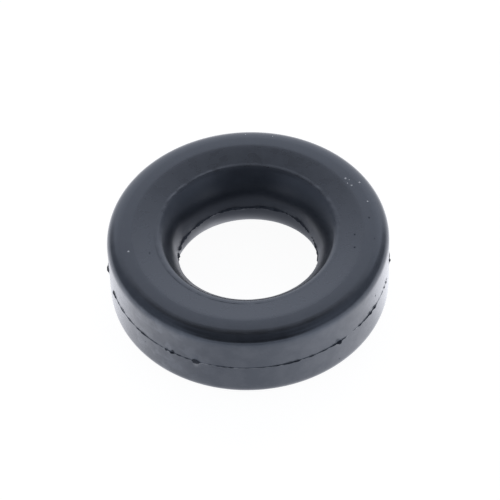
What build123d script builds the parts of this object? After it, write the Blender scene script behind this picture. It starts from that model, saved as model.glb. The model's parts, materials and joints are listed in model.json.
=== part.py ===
from build123d import *
import os

# Rubber ring, moulded in one piece between two mould halves that meet at its mid-height.
# It lies flat: the origin is the centre of its lower face, and +Z runs along its axis.

# Ring
outer_diameter = 20.2
height = 6.0
corner_radius = 0.8

# Bore, narrowest at mid-height and flaring in an arc to a crisp lip on each face
bore_diameter = 10.0
land_length = 0.3
flare_width = 1.55

# Fine ridge of flash that the mould's parting leaves around the outer wall
flash_height = 0.05
flash_width = 0.1

outer_radius = outer_diameter / 2
bore_radius = bore_diameter / 2
lip_radius = bore_radius + flare_width
half_height = height / 2

# The section stands on the parting plane: across is the radius, up is the height above mid-height.
section_plane = Plane(origin=(0, 0, half_height), x_dir=(1, 0, 0), z_dir=(0, -1, 0))

with BuildPart() as rubber_ring:
    with BuildSketch(section_plane) as section:
        # Upper half, from the bore outwards and back along the parting plane
        with BuildLine():
            land = Line((bore_radius, 0), (bore_radius, land_length / 2))
            flare = TangentArc(land @ 1, (lip_radius, half_height), tangent=land % 1)
            Polyline(
                flare @ 1,
                (outer_radius, half_height),
                (outer_radius, flash_width / 2),
                (outer_radius + flash_height, 0),
                land @ 0,
            )
        make_face()
        outer_corner = section.vertices().group_by(Axis.Y)[-1].sort_by(Axis.X)[-1]
        fillet(outer_corner, corner_radius)

        # Both mould halves have the same cavity.
        mirror(about=Plane.XZ)
    revolve(axis=Axis.Z)
rubber_ring.part.label = "rubber_ring"

os.makedirs("parts", exist_ok=True)
export_step(rubber_ring.part, "parts/rubber_ring.step")
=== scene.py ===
import bpy
import json
import numpy as np
from mathutils import Matrix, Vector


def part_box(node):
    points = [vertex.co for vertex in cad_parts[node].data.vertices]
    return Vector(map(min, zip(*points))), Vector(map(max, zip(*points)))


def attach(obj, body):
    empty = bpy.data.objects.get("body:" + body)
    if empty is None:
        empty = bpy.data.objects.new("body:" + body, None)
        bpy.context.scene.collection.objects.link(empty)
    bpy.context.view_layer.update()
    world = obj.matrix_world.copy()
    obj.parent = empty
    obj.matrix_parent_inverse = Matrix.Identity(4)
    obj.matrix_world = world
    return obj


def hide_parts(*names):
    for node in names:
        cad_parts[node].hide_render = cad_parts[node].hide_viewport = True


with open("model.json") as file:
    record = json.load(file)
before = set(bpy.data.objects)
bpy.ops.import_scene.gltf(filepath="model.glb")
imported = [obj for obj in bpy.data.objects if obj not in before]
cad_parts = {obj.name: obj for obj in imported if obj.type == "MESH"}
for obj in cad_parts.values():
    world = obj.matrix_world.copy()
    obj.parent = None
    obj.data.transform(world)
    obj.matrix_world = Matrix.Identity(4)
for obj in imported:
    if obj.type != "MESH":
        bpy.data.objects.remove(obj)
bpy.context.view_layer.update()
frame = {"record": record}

mm = 0.001
mounts = {mount["name"]: mount for mount in frame["record"]["mounts"]}
boreRadius = mounts["bore"]["dims"]["r_mm"]
outerRadius = mounts["outer_wall"]["dims"]["r_mm"]
midHeight = mounts["bore"]["pos_m"][2]  # m above the floor, where the mould's halves meet
mixA, mixB, mixResult = 6, 7, 2         # colour sockets of a Mix node


# Colours, nodes and places

def linearColour(hexColour):
    # sRGB hex to linear: c / 12.92 near black, ((c + 0.055) / 1.055) to the power 2.4 above that
    parts = [int(hexColour[i:i + 2], 16) / 255 for i in (1, 3, 5)]
    linear = [c / 12.92 if c <= 0.04045 else ((c + 0.055) / 1.055) ** 2.4 for c in parts]
    return (*linear, 1.0)


def addNode(tree, kind, settings=None, inputs=None):
    # one node: settings are its own properties, inputs are values or the sockets that feed it
    node = tree.nodes.new(kind)
    for name, value in (settings or {}).items():
        setattr(node, name, value)
    for name, value in (inputs or {}).items():
        if isinstance(value, bpy.types.NodeSocket):
            tree.links.new(value, node.inputs[name])
        else:
            node.inputs[name].default_value = value
    return node


def perMetre(sizeMm):
    # texture scale at which one feature of the pattern is that many millimetres across
    return 1 / (sizeMm * mm)


def onRing(azimuth, radius, height):
    # place in metres, from degrees around from the front, mm from the axis and mm above mid-height
    turn = np.radians(azimuth)
    return np.array([radius * np.sin(turn), -radius * np.cos(turn), height]) * mm + (0, 0, midHeight)


# Rubber ring

# Lengths are in mm and tilts in degrees. A place around the ring is an azimuth from the front and half a width,
# both in degrees, and then a size.
ringShape = {
    "columns": 640,             # steps around the ring
    "seed": 7,

    # bore
    "waistTilt": 1.0,           # lean of its wall as it leaves the parting at mid-height
    "mouthHeight": 2.68,        # above mid-height, where it turns into the lip
    "mouthWidth": 1.14,         # from the waist out to there
    "mouthTilt": 46.0,          # lean of its wall there
    "lumpHeight": 1.6,          # above and below mid-height, over which its lumps fade
    "lumpPlaces": [(-102, 16, 0.12), (-152, 27, -0.06), (140, 22, -0.05), (106, 13, -0.05)],  # mm outwards

    # face
    "lipEnd": 6.5,              # from the axis, where the rounded lip meets the face
    "sinkStart": 8.28,          # from the axis, inside which the face sinks towards the bore
    "sinkSoft": 0.08,           # half of the width over which the sinking starts
    "sinkTilt": 5.0,
    "sinkBack": 0.07,           # how far the edge of the sunk part lies behind the ring's middle
    "sinkBackWidth": 0.5,       # how far in and out from that edge the face goes with it
    "shoulderStart": 9.13,      # from the axis, outside which the face falls a little
    "shoulderLength": 0.3,      # over which that slope eases off
    "shoulderSoft": 0.03,
    "shoulderTilt": 4.0,
    "cornerSize": 0.86,
    "cornerPower": 2.45,        # 2 is a round corner, more is squarer with softer ends

    # lip: a low band that the core leaves raised, and the ridge of the core's seam, both uneven
    "bandEnd": 6.66,            # from the axis
    "bandSoft": 0.04,
    "bandHeight": 0.007,
    "bandLeast": 0.2,           # share of the height away from the band's places
    "bandPlaces": [(-50, 60, 0.8), (120, 35, 0.3)],       # further shares
    "ridgeHeight": 0.01,
    "ridgeWidth": 0.1,
    "ridgeLeast": 0.15,
    "ridgePlaces": [(-140, 26, 1.0), (124, 20, 0.5)],
    "lipWander": 0.35,
    "lipWaves": (3, 60),        # fewest and most per turn
    "lipLimits": (0.2, 2),      # smallest and largest share

    # flash at the mould's parting, a fin that is uneven in height and thickness
    "finWaves": (5, 140),
    "finLimits": (0.15, 2.0),
    "thicknessWander": 0.2,
    "thicknessWaves": (8, 90),
    "thicknessLimits": (0.6, 1.6),
    "finSpread": 1.3,           # half thicknesses from its middle, where it has fallen to about a third
    "finReach": 0.3,            # above and below mid-height, where the bore's fin may be
    "waistReach": 0.1,          # out from the waist, the same
    "wallReach": 0.01,          # in and out from the outer wall, where its fin may be

    # the two flashes: a rise is mm above mid-height, and a nib is extra height and extra half thickness,
    # below zero where the flash is worn down
    "outerFlash": {
        "height": 0.045,
        "halfThickness": 0.035,
        "wander": 0.4,
        "rises": [],
        "nibs": [
            (-87.5, 1.4, 0.1, 0.04), (-80, 4.5, -0.045, 0), (-73.3, 2.2, 0.05, 0),
            (-51, 11, -0.02, -0.01), (-36.7, 0.6, 0.08, 0.03), (-34, 0.9, 0.11, 0.04),
            (-29, 4, -0.025, -0.01), (-23.3, 1.45, 0.15, 0.11), (-4, 5, -0.025, 0),
            (6, 5, -0.018, -0.008), (18, 6, 0.02, 0.005), (37, 1.0, 0.13, 0.07),
            (43, 3, -0.045, 0), (52, 4, 0.03, 0.01), (56.5, 1.0, 0.06, 0.025),
            (60, 0.9, 0.05, 0.02), (68, 5, -0.06, 0), (71, 0.6, 0.07, 0.02),
            (74, 0.6, 0.07, 0.02), (80, 5, -0.045, 0), (86, 0.6, 0.07, 0.02),
        ],
    },
    "boreFlash": {
        "height": 0.06,
        "halfThickness": 0.045,
        "wander": 0.45,
        "rises": [(139, 19, 0.13), (180, 9, -0.1)],
        "nibs": [
            (-93, 4, 0.05, 0.02), (-100, 1.8, -0.05, 0), (-104, 1.6, 0.08, 0.03),
            (-113, 7, 0.04, 0.015), (-126, 3, -0.03, 0), (-136, 5.5, 0.06, 0.02),
            (-169, 10, 0.07, 0.02), (165, 14, 0.08, 0.03), (144, 4.5, -0.02, 0),
            (128, 8, 0.03, 0.01), (112, 3, -0.04, 0), (104, 2.5, -0.03, 0),
        ],
    },

    # points of the section: close at the parting, the lip, the edge of the band and the turns of the face
    "partingSteps": [0, 0.015, 0.03, 0.045, 0.06, 0.08, 0.1, 0.125, 0.155, 0.19],  # above mid-height
    "boreStart": 0.26,          # above mid-height, where even steps take over
    "boreSteps": 10,
    "lipSteps": 10,
    "afterLip": [0.04, 0.08],   # out from the end of the lip
    "edgeSteps": 5,             # across the edge of the band and across the start of the sinking
    "sinkReach": 0.15,          # in and out from the start of the sinking
    "innerFace": [6.8, 7.4, 7.9],  # from the axis
    "outerFace": [8.8, 9.05],
    "cornerFirst": 87,          # degrees of turn at the first point after the corner's start, which is at 90
    "cornerSteps": 13,
    "wallEnd": 0.3,             # above mid-height, where the close steps take over
    "wallSteps": 4,
}


def around(angle, places):
    # sum of size * exp(-(away / half width) ** 4) over the places
    total = np.zeros(angle.size)
    for azimuth, halfWidth, size in places:
        away = np.angle(np.exp(1j * (angle - np.radians(azimuth))), deg=True)
        total = total + size * np.exp(-(away / halfWidth) ** 4)
    return total


def wandering(rng, angle, fewest, most):
    # sum of cosines with fewest to most waves per turn and random phases, lower the finer they are; spread 1
    waves = np.arange(fewest, most + 1)
    phases = rng.uniform(0, 2 * np.pi, waves.size)
    total = (np.cos(np.outer(angle, waves) + phases) / np.sqrt(waves)).sum(axis=1)
    return total / total.std()


def flashAround(rng, angle, flash):
    # height and half thickness for each azimuth: an uneven fin and its nibs
    shape = ringShape
    unevenness = 1 + flash["wander"] * wandering(rng, angle, *shape["finWaves"])
    height = flash["height"] * np.clip(unevenness, *shape["finLimits"])
    unevenness = 1 + shape["thicknessWander"] * wandering(rng, angle, *shape["thicknessWaves"])
    halfThickness = flash["halfThickness"] * np.clip(unevenness, *shape["thicknessLimits"])
    higher = [(azimuth, halfWidth, extra) for azimuth, halfWidth, extra, _ in flash["nibs"]]
    thicker = [(azimuth, halfWidth, extra) for azimuth, halfWidth, _, extra in flash["nibs"]]
    height = height + around(angle, higher)
    return height.clip(0), halfThickness + around(angle, thicker)


def halfSection(halfHeight):
    # radius and height above mid-height, in mm, from the bore's waist up and over to the outer wall's middle
    shape = ringShape
    nearParting = np.array(shape["partingSteps"])

    def shoulderDrop(radius):
        # nothing inside the shoulder's start, a soft turn there, and a slope that eases off as
        # exp(-outside / length)
        soft, length = shape["shoulderSoft"], shape["shoulderLength"]
        outside = soft * np.logaddexp(0, (radius - shape["shoulderStart"]) / soft)
        return np.tan(np.radians(shape["shoulderTilt"])) * length * (1 - np.exp(-outside / length))

    def faceHeight(radius):
        # level outside the start of the sinking, an even slope down inside it, and a soft turn between
        inside = (shape["sinkStart"] - radius) / shape["sinkSoft"]
        sunk = np.tan(np.radians(shape["sinkTilt"])) * shape["sinkSoft"] * np.logaddexp(0, inside)
        return halfHeight - sunk - shoulderDrop(radius)

    # bore: cubic in height, with the given radius and lean at the waist and at the mouth
    top, width = shape["mouthHeight"], shape["mouthWidth"]
    lowLean, highLean = np.tan(np.radians([shape["waistTilt"], shape["mouthTilt"]]))
    square = 3 * width / top ** 2 - (2 * lowLean + highLean) / top
    cube = (lowLean + highLean) / top ** 2 - 2 * width / top ** 3
    up = np.concatenate([nearParting, np.linspace(shape["boreStart"], top, shape["boreSteps"])])
    bore = np.stack([boreRadius + lowLean * up + square * up ** 2 + cube * up ** 3, up], axis=1)

    # lip: quadratic curve from the mouth to the face, with its control point where their two slopes meet
    mouth = bore[-1]
    faceStart = np.array([shape["lipEnd"], faceHeight(shape["lipEnd"])])
    faceLean = np.tan(np.radians(shape["sinkTilt"]))
    gap = faceStart[1] - mouth[1] + faceLean * (mouth[0] - faceStart[0])
    meeting = gap / (1 - faceLean * highLean)  # height from the mouth up to the control point
    control = mouth + meeting * np.array([highLean, 1])
    t = np.linspace(0, 1, shape["lipSteps"] + 1)[1:, None]
    lip = (1 - t) ** 2 * mouth + 2 * t * (1 - t) * control + t ** 2 * faceStart

    # face: its points are close at each edge
    bandEdge = shape["bandEnd"] + shape["bandSoft"] * np.linspace(-1, 1, shape["edgeSteps"])
    sinkEdge = shape["sinkStart"] + np.linspace(-shape["sinkReach"], shape["sinkReach"], shape["edgeSteps"])
    shoulderEdge = shape["shoulderStart"] + shape["shoulderSoft"] * np.array([-1, 0, 1])
    faceRadius = np.concatenate([
        faceStart[0] + np.array(shape["afterLip"]), bandEdge, shape["innerFace"],
        sinkEdge, shape["outerFace"], shoulderEdge])
    face = np.stack([faceRadius, faceHeight(faceRadius)], axis=1)

    # corner: superellipse from the face to the wall, let down with the shoulder
    size, power = shape["cornerSize"], 2 / shape["cornerPower"]
    turn = np.radians(np.append(90, np.linspace(shape["cornerFirst"], 0, shape["cornerSteps"])))
    cornerRadius = outerRadius - size + size * np.cos(turn).clip(0) ** power
    cornerHeight = halfHeight - size * (1 - np.sin(turn).clip(0) ** power)
    corner = np.stack([cornerRadius, cornerHeight - shoulderDrop(cornerRadius)], axis=1)

    # wall: straight down to the flash
    down = np.linspace(corner[-1, 1], shape["wallEnd"], shape["wallSteps"] + 1)[1:]
    wallHeight = np.concatenate([down, nearParting[::-1]])
    wall = np.stack([np.full(wallHeight.size, outerRadius), wallHeight], axis=1)
    return np.concatenate([bore, lip, face, corner, wall])


def buildRing():
    # the section carried around the axis: radius and height on a grid of azimuths and section points
    shape = ringShape
    low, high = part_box("rubber_ring")
    halfHeight = (high[2] - low[2]) / 2 / mm
    upper = halfSection(halfHeight)
    lower = upper[-2:0:-1] * (1, -1)
    section = np.concatenate([upper, lower])  # closed: up from the waist, over, and back underneath
    radius, height = section.T
    onOuter = np.abs(radius - outerRadius) < shape["wallReach"]
    onBore = (radius - boreRadius < shape["waistReach"]) & (np.abs(height) < shape["finReach"])
    onFace = np.abs(height) > halfHeight / 2

    rng = np.random.default_rng(shape["seed"])
    angle = np.linspace(0, 2 * np.pi, shape["columns"], endpoint=False)

    def fin(flash):
        # fin with a rounded edge: its height times exp(-((z - rise) / half thickness / spread) ** 4)
        finHeight, halfThickness = flashAround(rng, angle, flash)
        up = height[None, :] - around(angle, flash["rises"])[:, None]
        return finHeight[:, None] * np.exp(-(up / halfThickness[:, None] / shape["finSpread"]) ** 4)

    radii = radius[None, :] + fin(shape["outerFlash"]) * onOuter - fin(shape["boreFlash"]) * onBore

    # lumps of the bore: they fade as exp(-(z / lump height) ** 4)
    lumpUp = np.exp(-(height / shape["lumpHeight"]) ** 4) * (radius < shape["lipEnd"])
    radii = radii + around(angle, shape["lumpPlaces"])[:, None] * lumpUp

    # the edge of the sunk part lies further back: -cos(azimuth) times a bell curve in radius
    nearSink = np.exp(-((radius - shape["sinkStart"]) / shape["sinkBackWidth"]) ** 2) * onFace
    radii = radii - shape["sinkBack"] * np.cos(angle)[:, None] * nearSink

    # lip: a raised band with a soft step at its edge, and a low bell curve in radius for the seam
    step = (radius - shape["bandEnd"]) / shape["bandSoft"]
    bandAcross = (0.5 - 0.5 * np.sin(np.clip(step, -1, 1) * np.pi / 2)) * onFace
    ridgeAcross = np.exp(-((radius - shape["lipEnd"]) / shape["ridgeWidth"]) ** 2) * onFace
    unevenness = 1 + shape["lipWander"] * wandering(rng, angle, *shape["lipWaves"])
    unevenness = np.clip(unevenness, *shape["lipLimits"])
    bandShare = shape["bandLeast"] + around(angle, shape["bandPlaces"])
    ridgeShare = shape["ridgeLeast"] + around(angle, shape["ridgePlaces"])
    bandAround = shape["bandHeight"] * unevenness * bandShare
    ridgeAround = shape["ridgeHeight"] * unevenness * ridgeShare
    lift = bandAround[:, None] * bandAcross + ridgeAround[:, None] * ridgeAcross
    heights = height[None, :] + np.sign(height) * lift
    heights = heights.clip(-halfHeight, halfHeight)

    x = radii * np.sin(angle)[:, None]
    y = -radii * np.cos(angle)[:, None]
    z = heights + halfHeight
    vertices = np.stack([x, y, z], axis=-1).reshape(-1, 3) * mm

    # quads between neighbouring columns and neighbouring section points, closed both ways
    columns, points = radii.shape
    column, point = np.meshgrid(np.arange(columns), np.arange(points), indexing="ij")
    nextColumn, nextPoint = (column + 1) % columns, (point + 1) % points
    corners = [(column, point), (nextColumn, point), (nextColumn, nextPoint), (column, nextPoint)]
    quads = np.stack([c * points + p for c, p in corners], axis=-1).reshape(-1, 4)

    mesh = bpy.data.meshes.new("rubberRing")
    mesh.from_pydata(vertices.tolist(), [], quads.tolist())
    mesh.shade_smooth()
    ring = bpy.data.objects.new("rubberRing", mesh)
    bpy.context.collection.objects.link(ring)
    print("rubber ring:", columns, "x", points, "points,", 2 * len(quads), "triangles")
    return ring


# Nitrile rubber filled with carbon black, compression moulded in a polished tool: near black in the body,
# with a satin, slightly blue sheen that picks up pale surroundings, and faint clouding where the tool was worn.
# Tones are two levels of a pattern, between which it takes effect. Lengths are in mm.
rubberFinish = {
    "body": "#242528",
    "bloom": "#2f3135",
    "bloomTones": (0.4, 0.75),
    "sheen": "#c6deff",
    "ior": 1.6,
    "specular": 0.575,

    # roughness
    "rough": (0.24, 0.33),      # where the clouding is low and where it is high
    "roughTones": (0.3, 0.7),
    "coreRough": 0.2,           # added in the bore, because the core that moulds it is less polished
    "rimRough": -0.06,          # added outside the sunk part of the face, where the tool is better polished
    "rimSoft": 0.05,
    "dullRough": 0.8,           # of specks, pits and torn flash

    # thin film of mould release and bloom
    "film": 1.0,
    "filmIor": 1.5,
    "filmRough": 0.3,
    "filmThin": (0.98, 0.75),   # share that is left where it is thinnest, on the face and on the wall
    "filmTones": (0.35, 0.65),
    "coreFilm": 0.66,           # share in the bore

    # patterns; the grain is drawn a little coarser than the real texture so that it shows
    "patterns": {
        "cloud": {"size": 1.2, "detail": 3.0, "roughness": 0.55},
        "patches": {"size": 1.1, "detail": 2.0, "roughness": 0.5},
        "wave": {"size": 2.4, "detail": 1.0, "roughness": 0.5},
        "grain": {"size": 0.09, "detail": 2.0, "roughness": 0.5},
    },
    "waveDepth": 0.0045,
    "grainDepth": 0.0006,

    # from the axis: the two radii between which each of these changes
    "spans": {"coreRough": (5.7, 6.4), "coreFilm": (5.8, 6.4), "wallFilm": (9.6, 10.0), "stain": (9.85, 10.05)},
    "tornFlash": (0.01, 0.05),  # the same for the dull flash, out from the wall

    # pale, patchy bloom on one side of the wall
    "stain": "#65676b",
    "stainTones": (0.45, 0.64),
    "stainAzimuth": -50,        # degrees from the front
    "stainFade": (2.0, 7.0),    # from there, where it starts to fade and where it has gone

    # specks of dust and dull pits: degrees from the front, mm from the axis, mm above mid-height, radius
    "dust": "#f4f4f2",
    "speckMiddle": 0.5,         # share of the radius inside which a speck is full
    "dustPlaces": [
        (-80.2, 8.64, 3.0, 0.09), (122.9, 8.62, 3.0, 0.1), (119.7, 8.46, 2.99, 0.055),
        (117.5, 8.61, 3.0, 0.085), (117.3, 9.25, 3.0, 0.085), (121.2, 8.75, 3.0, 0.045),
        (105.2, 9.01, 3.0, 0.07), (167.0, 9.4, 2.99, 0.055), (179.2, 9.48, 2.98, 0.055),
    ],
    "pitPlaces": [
        (95.1, 8.75, 3.0, 0.09), (75.7, 7.77, 2.95, 0.09), (82.4, 9.06, 3.0, 0.06),
        (84.7, 7.63, 2.93, 0.09), (-48.3, 10.1, -0.77, 0.07), (61.1, 10.1, 1.07, 0.11),
        (37.3, 10.1, -1.94, 0.07), (-77.0, 7.2, 2.9, 0.08),
    ],
}


def mouldedBlackRubber():
    finish = rubberFinish
    material = bpy.data.materials.new("mouldedBlackNitrileRubber")
    material.use_nodes = True
    tree = material.node_tree
    tree.nodes.clear()
    place = addNode(tree, "ShaderNodeTexCoord").outputs["Object"]
    flat = addNode(tree, "ShaderNodeVectorMath", {"operation": "MULTIPLY"}, {0: place, 1: (1, 1, 0)})
    fromAxis = addNode(tree, "ShaderNodeVectorMath", {"operation": "LENGTH"}, {
        0: flat.outputs["Vector"]}).outputs["Value"]
    spans = {name: np.array(span) * mm for name, span in finish["spans"].items()}

    noise = {}
    for name, pattern in finish["patterns"].items():
        noise[name] = addNode(tree, "ShaderNodeTexNoise", inputs={
            "Vector": place, "Scale": perMetre(pattern["size"]),
            "Detail": pattern["detail"], "Roughness": pattern["roughness"]}).outputs["Fac"]

    # colour: body to bloom with the clouding
    ramp = addNode(tree, "ShaderNodeValToRGB", inputs={"Fac": noise["cloud"]})
    for element, tone, name in zip(ramp.color_ramp.elements, finish["bloomTones"], ("body", "bloom")):
        element.position = tone
        element.color = linearColour(finish[name])

    # roughness: clouded, with more in the bore, growing from the lip inwards, and less on the rim
    rough = addNode(tree, "ShaderNodeMapRange", inputs={
        "Value": noise["cloud"], "From Min": finish["roughTones"][0], "From Max": finish["roughTones"][1],
        "To Min": finish["rough"][0], "To Max": finish["rough"][1]})
    coreRough = addNode(tree, "ShaderNodeMapRange", inputs={
        "Value": fromAxis, "From Min": spans["coreRough"][0], "From Max": spans["coreRough"][1],
        "To Min": finish["coreRough"], "To Max": 0.0})
    rough = addNode(tree, "ShaderNodeMath", {"operation": "ADD"}, {
        0: rough.outputs["Result"], 1: coreRough.outputs["Result"]})
    sinkStart, rimSoft = ringShape["sinkStart"] * mm, finish["rimSoft"] * mm
    rimRough = addNode(tree, "ShaderNodeMapRange", inputs={
        "Value": fromAxis, "From Min": sinkStart - rimSoft, "From Max": sinkStart + rimSoft,
        "To Min": 0.0, "To Max": finish["rimRough"]})
    rough = addNode(tree, "ShaderNodeMath", {"operation": "ADD"}, {
        0: rough.outputs["Value"], 1: rimRough.outputs["Result"]})

    # film: clouded, above all on the wall, and less of it in the bore
    thinOnFace, thinOnWall = finish["filmThin"]
    thinnest = addNode(tree, "ShaderNodeMapRange", inputs={
        "Value": fromAxis, "From Min": spans["wallFilm"][0], "From Max": spans["wallFilm"][1],
        "To Min": thinOnFace * finish["film"], "To Max": thinOnWall * finish["film"]})
    film = addNode(tree, "ShaderNodeMapRange", inputs={
        "Value": noise["cloud"], "From Min": finish["filmTones"][0], "From Max": finish["filmTones"][1],
        "To Min": thinnest.outputs["Result"], "To Max": finish["film"]})
    coreFilm = addNode(tree, "ShaderNodeMapRange", inputs={
        "Value": fromAxis, "From Min": spans["coreFilm"][0], "From Max": spans["coreFilm"][1],
        "To Min": finish["coreFilm"], "To Max": 1.0})
    film = addNode(tree, "ShaderNodeMath", {"operation": "MULTIPLY"}, {
        0: film.outputs["Result"], 1: coreFilm.outputs["Result"]})

    # stain: patches of noise, only on the wall and only near its place
    fadeStart, fadeEnd = finish["stainFade"]
    away = addNode(tree, "ShaderNodeVectorMath", {"operation": "DISTANCE"}, {
        0: place, 1: onRing(finish["stainAzimuth"], outerRadius, 0)})
    near = addNode(tree, "ShaderNodeMapRange", {"interpolation_type": "SMOOTHSTEP"}, {
        "Value": away.outputs["Value"], "From Min": fadeStart * mm, "From Max": fadeEnd * mm,
        "To Min": 1.0, "To Max": 0.0})
    near = addNode(tree, "ShaderNodeMapRange", inputs={
        "Value": fromAxis, "From Min": spans["stain"][0], "From Max": spans["stain"][1],
        "To Min": 0.0, "To Max": near.outputs["Result"]})
    stain = addNode(tree, "ShaderNodeMapRange", {"interpolation_type": "SMOOTHSTEP"}, {
        "Value": noise["patches"], "From Min": finish["stainTones"][0], "From Max": finish["stainTones"][1],
        "To Min": 0.0, "To Max": near.outputs["Result"]})
    colour = addNode(tree, "ShaderNodeMix", {"data_type": "RGBA"}, {
        "Factor": stain.outputs["Result"],
        mixA: ramp.outputs["Color"], mixB: linearColour(finish["stain"])})

    # specks: each is 1 in its middle and falls to the level so far at its edge
    marks = {}
    for kind in ("dustPlaces", "pitPlaces"):
        mark = 0.0
        for azimuth, radius, height, size in finish[kind]:
            away = addNode(tree, "ShaderNodeVectorMath", {"operation": "DISTANCE"}, {
                0: place, 1: onRing(azimuth, radius, height)})
            mark = addNode(tree, "ShaderNodeMapRange", {"interpolation_type": "SMOOTHSTEP"}, {
                "Value": away.outputs["Value"],
                "From Min": finish["speckMiddle"] * size * mm, "From Max": size * mm,
                "To Min": 1.0, "To Max": mark}).outputs["Result"]
        marks[kind] = mark
    colour = addNode(tree, "ShaderNodeMix", {"data_type": "RGBA"}, {
        "Factor": marks["dustPlaces"],
        mixA: colour.outputs[mixResult], mixB: linearColour(finish["dust"])})

    # dull places: the specks, and the flash, which was torn off
    dull = addNode(tree, "ShaderNodeMath", {"operation": "MAXIMUM"}, {
        0: marks["dustPlaces"], 1: marks["pitPlaces"]})
    tornStart, tornEnd = (outerRadius + np.array(finish["tornFlash"])) * mm
    dull = addNode(tree, "ShaderNodeMapRange", inputs={
        "Value": fromAxis, "From Min": tornStart, "From Max": tornEnd,
        "To Min": dull.outputs["Value"], "To Max": 1.0})
    rough = addNode(tree, "ShaderNodeMapRange", inputs={
        "Value": dull.outputs["Result"], "To Min": rough.outputs["Value"], "To Max": finish["dullRough"]})
    film = addNode(tree, "ShaderNodeMapRange", inputs={
        "Value": dull.outputs["Result"], "To Min": film.outputs["Value"], "To Max": 0.0})

    # relief: long waves with fine grain on them
    waveBump = addNode(tree, "ShaderNodeBump", inputs={
        "Height": noise["wave"], "Strength": 1.0, "Distance": finish["waveDepth"] * mm})
    grainBump = addNode(tree, "ShaderNodeBump", inputs={
        "Height": noise["grain"], "Strength": 1.0, "Distance": finish["grainDepth"] * mm,
        "Normal": waveBump.outputs["Normal"]})

    shader = addNode(tree, "ShaderNodeBsdfPrincipled", inputs={
        "Base Color": colour.outputs[mixResult], "Roughness": rough.outputs["Result"],
        "Normal": grainBump.outputs["Normal"], "IOR": finish["ior"],
        "Specular IOR Level": finish["specular"], "Specular Tint": linearColour(finish["sheen"]),
        "Coat Weight": film.outputs["Result"], "Coat Roughness": finish["filmRough"],
        "Coat IOR": finish["filmIor"], "Coat Normal": grainBump.outputs["Normal"]})
    addNode(tree, "ShaderNodeOutputMaterial", inputs={"Surface": shader.outputs["BSDF"]})
    return material


ring = buildRing()
ring.data.materials.append(mouldedBlackRubber())
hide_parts("rubber_ring")
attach(ring, "root")
print("rubber: moulded black nitrile, satin")


# Floor

floorLook = {
    "side": 3.0,                # m
    "below": 0.002,             # mm under the ring
    "white": "#ffffff",
    "glow": 0.95,               # what the eye sees of the paper without its shadow
    "lit": 0.2,                 # and the share that takes the shadow
    "plain": 0.85,              # the paper that lights the ring from below
    "mirrored": 1.13,           # level of the open paper as the rubber mirrors it
    "cool": "#f7f8ff",          # its tint there under the window's light
    "shadeCool": "#e8eeff",     # and in shade
    # shaded and brighter areas of the paper as the rubber mirrors it, seen from the front: mm across and along
    # to the middle, the radii in mm where the area starts to fade and where it has gone, and its level
    "areas": {
        "farFront": (-3.0, -50.0, 12.0, 34.0, 0.5),
        "front": (-4.0, -10.1, 0.0, 13.0, 0.82),
        "hole": (1.8, 0.0, 3.2, 9.0, 0.44),
        "holeFrontLeft": (-3.6, 0.9, 0.8, 2.4, 0.15),
        "holeLeft": (-5.0, 3.9, 0.3, 1.3, 1.5),
        "holeBackLeft": (-2.2, 4.4, 0.2, 1.7, 1.1),
        "holeRight": (4.5, 3.1, 0.3, 1.8, 0.75),
        "frontLeft": (-14.0, -15.0, 3.0, 9.0, 1.27),
        "frontRight": (14.0, -15.0, 3.0, 9.0, 1.38),
        "besideRight": (12.0, -1.0, 1.0, 5.0, 1.5),
        "besideLeft": (-12.0, -1.0, 1.0, 4.5, 1.26),
    },
}


def whitePaper():
    # the eye sees white paper with a faint shadow, mirror-like surfaces see the paper with its areas,
    # and other light meets plain paper
    material = bpy.data.materials.new("whitePaper")
    material.use_nodes = True
    tree = material.node_tree
    tree.nodes.clear()
    path = addNode(tree, "ShaderNodeLightPath")
    mirrored = addNode(tree, "ShaderNodeMath", {"operation": "MAXIMUM"}, {
        0: path.outputs["Is Glossy Ray"], 1: path.outputs["Is Transmission Ray"]})

    place = addNode(tree, "ShaderNodeTexCoord").outputs["Object"]
    level = floorLook["mirrored"]
    for across, along, fadeStart, fadeEnd, areaLevel in floorLook["areas"].values():
        away = addNode(tree, "ShaderNodeVectorMath", {"operation": "DISTANCE"}, {
            0: place, 1: (across * mm, along * mm, 0)})
        level = addNode(tree, "ShaderNodeMapRange", {"interpolation_type": "SMOOTHSTEP"}, {
            "Value": away.outputs["Value"], "From Min": fadeStart * mm, "From Max": fadeEnd * mm,
            "To Min": areaLevel, "To Max": level}).outputs["Result"]
    tint = addNode(tree, "ShaderNodeMix", {"data_type": "RGBA"}, {
        "Factor": level,
        mixA: linearColour(floorLook["shadeCool"]), mixB: linearColour(floorLook["cool"])})
    mirroredGlow = addNode(tree, "ShaderNodeEmission", inputs={
        "Color": tint.outputs[mixResult], "Strength": level})

    glow = addNode(tree, "ShaderNodeEmission", inputs={
        "Color": linearColour(floorLook["white"]), "Strength": floorLook["glow"]})
    lit, plain = floorLook["lit"], floorLook["plain"]
    shaded = addNode(tree, "ShaderNodeBsdfDiffuse", inputs={"Color": (lit, lit, lit, 1)})
    seen = addNode(tree, "ShaderNodeAddShader", inputs={0: glow.outputs[0], 1: shaded.outputs[0]})
    unseen = addNode(tree, "ShaderNodeBsdfDiffuse", inputs={"Color": (plain, plain, plain, 1)})
    mix = addNode(tree, "ShaderNodeMixShader", inputs={
        "Fac": path.outputs["Is Camera Ray"], 1: unseen.outputs[0], 2: seen.outputs[0]})
    mix = addNode(tree, "ShaderNodeMixShader", inputs={
        "Fac": mirrored.outputs[0], 1: mix.outputs[0], 2: mirroredGlow.outputs[0]})
    addNode(tree, "ShaderNodeOutputMaterial", inputs={"Surface": mix.outputs[0]})
    return material


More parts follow.
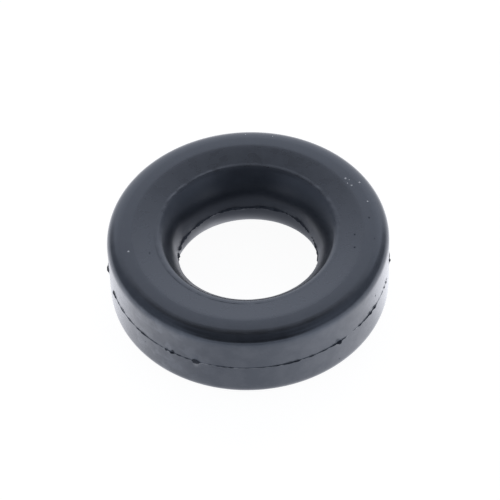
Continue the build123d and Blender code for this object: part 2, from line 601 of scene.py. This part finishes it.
def buildFloor():
    # square sheet just under the ring
    half = floorLook["side"] / 2
    below = -floorLook["below"] * mm
    corners = [(-half, -half, below), (half, -half, below), (half, half, below), (-half, half, below)]
    mesh = bpy.data.meshes.new("floor")
    mesh.from_pydata(corners, [], [(0, 1, 2, 3)])
    floor = bpy.data.objects.new("floor", mesh)
    bpy.context.collection.objects.link(floor)
    floor.data.materials.append(whitePaper())
    return floor


floor = buildFloor()
print("floor: white paper")


# Surroundings: a grey room with a pale window wall behind the ring, darker on the camera's side and overhead

# Angles are in degrees, and an azimuth is from the camera's side, to the right above zero.
roomLight = {
    "cool": "#f7f8ff",          # tint where the room is pale
    "shadeCool": "#e2ebff",     # and where it is dark
    "wall": 0.405,
    "horizon": (2.0, 11.0),     # elevation: white up to the first, the room from the second on
    "window": {
        "azimuth": 177,
        "halfWidth": 54,        # at the floor
        "narrowing": 30,        # of the half width, from the floor to the zenith
        "top": 50.8,
        "slant": 0.09,          # how much the top rises to the right
        "softSide": 5.5,
        "softTop": 3.2,
        "level": 1.2,
    },
    # paler and darker areas: azimuth and elevation of the middle, the angles from there where the area starts
    # to fade and where it has gone, and its level; a later area lies over an earlier one
    "areas": {
        "leftUpper": (-62, 46, 10, 26, 0.49),
        "rightUpper": (62, 46, 10, 26, 0.54),
        "cameraLeft": (-11, 18, 24, 39, 0.095),
        "cameraRight": (9, 18, 24, 39, 0.095),
        "leftGlow": (-50, 3, 7, 23, 0.9),
        "rightGlow": (50, 3, 7, 23, 1.0),
        "overhead": (-12, 67, 27, 33, 0.155),
        "ceiling": (185, 68, 11, 17, 0.08),
    },
}


def buildRoom():
    world = bpy.data.worlds.new("studioRoom")
    bpy.context.scene.world = world
    world.use_nodes = True
    tree = world.node_tree
    tree.nodes.clear()
    direction = addNode(tree, "ShaderNodeTexCoord").outputs["Generated"]
    upright = addNode(tree, "ShaderNodeSeparateXYZ", inputs={"Vector": direction}).outputs["Z"]

    # window: full level inside its width and below its top, with a smooth edge on each
    window = roomLight["window"]
    turn = np.radians(window["azimuth"])
    sides = np.radians([window["halfWidth"] - window["softSide"], window["halfWidth"] + window["softSide"]])
    tops = np.sin(np.radians([window["top"] - window["softTop"], window["top"] + window["softTop"]]))
    ahead = addNode(tree, "ShaderNodeVectorMath", {"operation": "DOT_PRODUCT"}, {
        0: direction, 1: (np.sin(turn), -np.cos(turn), 0)})
    aside = addNode(tree, "ShaderNodeVectorMath", {"operation": "DOT_PRODUCT"}, {
        0: direction, 1: (np.cos(turn), np.sin(turn), 0)})
    sideways = addNode(tree, "ShaderNodeMath", {"operation": "ABSOLUTE"}, {0: aside.outputs["Value"]})
    sideways = addNode(tree, "ShaderNodeMath", {"operation": "ARCTAN2"}, {
        0: sideways.outputs["Value"], 1: ahead.outputs["Value"]})
    sideways = addNode(tree, "ShaderNodeMath", {"operation": "MULTIPLY_ADD"}, {
        0: upright, 1: np.radians(window["narrowing"]), 2: sideways.outputs["Value"]})
    level = addNode(tree, "ShaderNodeMapRange", {"interpolation_type": "SMOOTHSTEP"}, {
        "Value": sideways.outputs["Value"], "From Min": sides[0], "From Max": sides[1],
        "To Min": window["level"], "To Max": roomLight["wall"]}).outputs["Result"]
    over = addNode(tree, "ShaderNodeVectorMath", {"operation": "DOT_PRODUCT"}, {
        0: direction, 1: (-window["slant"], 0, 1)})
    level = addNode(tree, "ShaderNodeMapRange", {"interpolation_type": "SMOOTHSTEP"}, {
        "Value": over.outputs["Value"], "From Min": tops[0], "From Max": tops[1],
        "To Min": level, "To Max": roomLight["wall"]}).outputs["Result"]

    # areas: the angle from the middle, arccos of a dot product, fades each into the level so far
    for azimuth, elevation, fadeStart, fadeEnd, areaLevel in roomLight["areas"].values():
        turn, up = np.radians([azimuth, elevation])
        middle = (np.sin(turn) * np.cos(up), -np.cos(turn) * np.cos(up), np.sin(up))
        towards = addNode(tree, "ShaderNodeVectorMath", {"operation": "DOT_PRODUCT"}, {
            0: direction, 1: middle})
        away = addNode(tree, "ShaderNodeMath", {"operation": "ARCCOSINE"}, {0: towards.outputs["Value"]})
        level = addNode(tree, "ShaderNodeMapRange", {"interpolation_type": "SMOOTHSTEP"}, {
            "Value": away.outputs["Value"],
            "From Min": np.radians(fadeStart), "From Max": np.radians(fadeEnd),
            "To Min": areaLevel, "To Max": level}).outputs["Result"]

    # white along the horizon, where the paper goes up
    low, high = np.sin(np.radians(roomLight["horizon"]))
    level = addNode(tree, "ShaderNodeMapRange", {"interpolation_type": "SMOOTHSTEP"}, {
        "Value": upright, "From Min": low, "From Max": high,
        "To Min": 1.0, "To Max": level}).outputs["Result"]
    tint = addNode(tree, "ShaderNodeMix", {"data_type": "RGBA"}, {
        "Factor": level,
        mixA: linearColour(roomLight["shadeCool"]), mixB: linearColour(roomLight["cool"])})
    light = addNode(tree, "ShaderNodeBackground", inputs={
        "Color": tint.outputs[mixResult], "Strength": level})

    # the eye sees a white backdrop
    path = addNode(tree, "ShaderNodeLightPath")
    backdrop = addNode(tree, "ShaderNodeBackground", inputs={
        "Color": linearColour(floorLook["white"]), "Strength": 1.0})
    mix = addNode(tree, "ShaderNodeMixShader", inputs={
        "Fac": path.outputs["Is Camera Ray"], 1: light.outputs[0], 2: backdrop.outputs[0]})
    addNode(tree, "ShaderNodeOutputWorld", inputs={"Surface": mix.outputs[0]})


buildRoom()
print("room: grey, with a pale window wall behind the ring")


# Camera: the ring's place in the 500 x 500 picture, and the angle and distance that its outline was seen from

cameraView = {
    "elevation": 49.14,         # degrees
    "roll": -2.356,             # degrees
    "distance": 199.2,          # mm from the ring's middle
    "pixelsPerMm": 13.864,      # at the ring's middle
    "ringAcross": 248.81,       # pixels from the picture's left edge to the ring's middle
    "ringDown": 258.32,         # and from its top edge
    "pictureSide": 500,         # pixels
    "sensor": 36.0,             # mm
    "clip": (0.01, 10.0),       # m
}


def buildCamera():
    view = cameraView
    elevation, roll = np.radians(view["elevation"]), np.radians(view["roll"])
    back = np.array([0, -np.cos(elevation), np.sin(elevation)])
    levelUp = np.array([0, np.sin(elevation), np.cos(elevation)])
    levelRight = np.array([1, 0, 0])
    right = np.cos(roll) * levelRight + np.sin(roll) * levelUp
    up = np.cos(roll) * levelUp - np.sin(roll) * levelRight

    # the camera stands aside by as much as the ring's middle is off the picture's middle
    low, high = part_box("rubber_ring")
    middle = np.array([0, 0, (low[2] + high[2]) / 2])
    centre = view["pictureSide"] / 2
    aside = (centre - view["ringAcross"]) * right + (view["ringDown"] - centre) * up
    place = middle + aside / view["pixelsPerMm"] * mm + view["distance"] * mm * back

    data = bpy.data.cameras.new("camera")
    data.sensor_width = view["sensor"]
    data.lens = view["pixelsPerMm"] * view["distance"] * view["sensor"] / view["pictureSide"]
    data.clip_start, data.clip_end = view["clip"]
    camera = bpy.data.objects.new("camera", data)
    bpy.context.collection.objects.link(camera)
    turned = np.eye(4)
    turned[:3] = np.stack([right, up, back, place], axis=1)
    camera.matrix_world = Matrix(turned.tolist())
    bpy.context.scene.camera = camera


buildCamera()
bpy.context.scene.view_settings.view_transform = "Standard"
print("camera:", cameraView["elevation"], "degrees above the floor")
